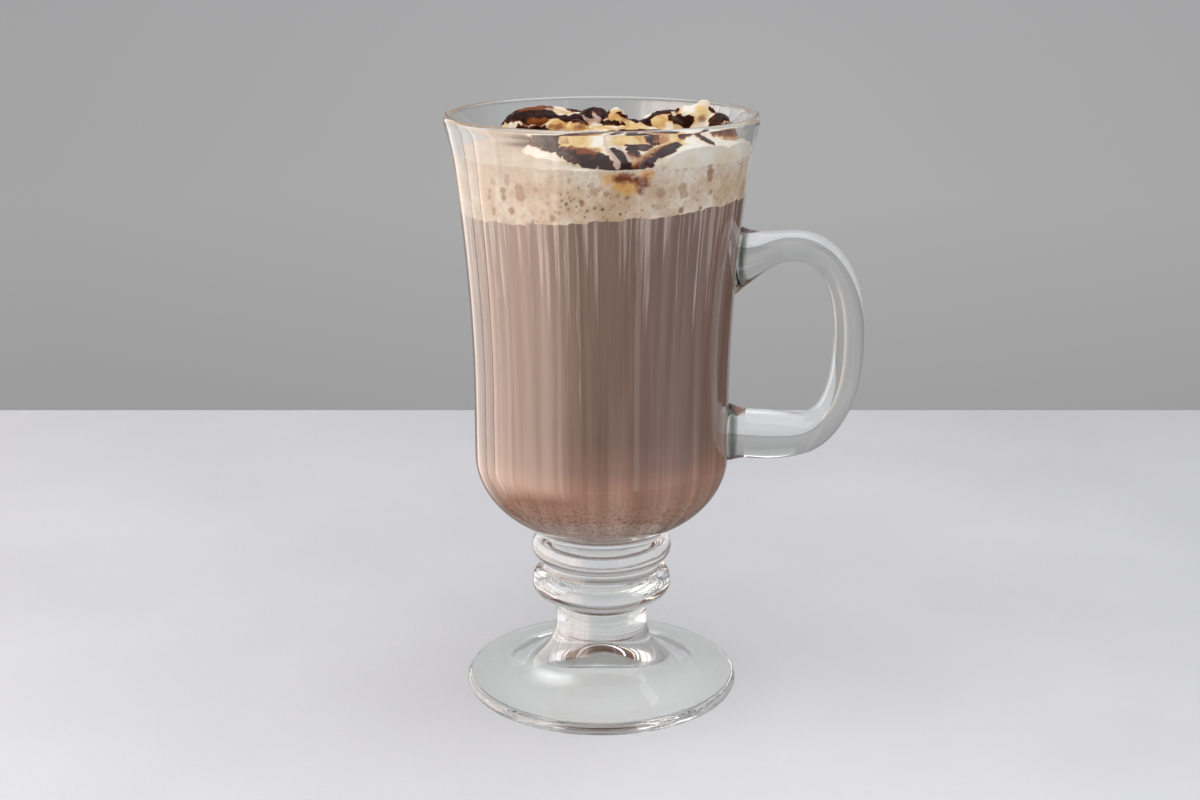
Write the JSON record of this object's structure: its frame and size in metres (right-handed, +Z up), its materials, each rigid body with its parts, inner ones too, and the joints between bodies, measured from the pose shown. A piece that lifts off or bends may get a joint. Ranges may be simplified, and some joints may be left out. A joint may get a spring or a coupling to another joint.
{
  "type": "glass mug of hot chocolate",
  "caption": "Footed clear glass mug with a ringed stem and a loop handle, filled with hot chocolate, milk foam and whipped cream under chocolate sauce.",
  "frame": {"origin": "centre of the foot's flat underside, on the axis of the glass", "axes": "+Z up along the axis of the glass, +X towards the handle, -Y towards the viewer of the picture"},
  "size_m": [0.1029, 0.076, 0.1493],
  "materials": {
    "clear_glass": "clear pressed soda-lime glass, polished",
    "hot_chocolate_drink": "milky brown liquid, smooth against the glass",
    "milk_froth": "beige froth with open bubbles",
    "cream_with_sauce": "soft whipped cream with glossy dark chocolate sauce"
  },
  "bodies": {
    "root": {"mug": "clear_glass", "hot_chocolate": "hot_chocolate_drink", "milk_foam": "milk_froth", "whipped_cream": "cream_with_sauce"}
  },
  "joints": []
}
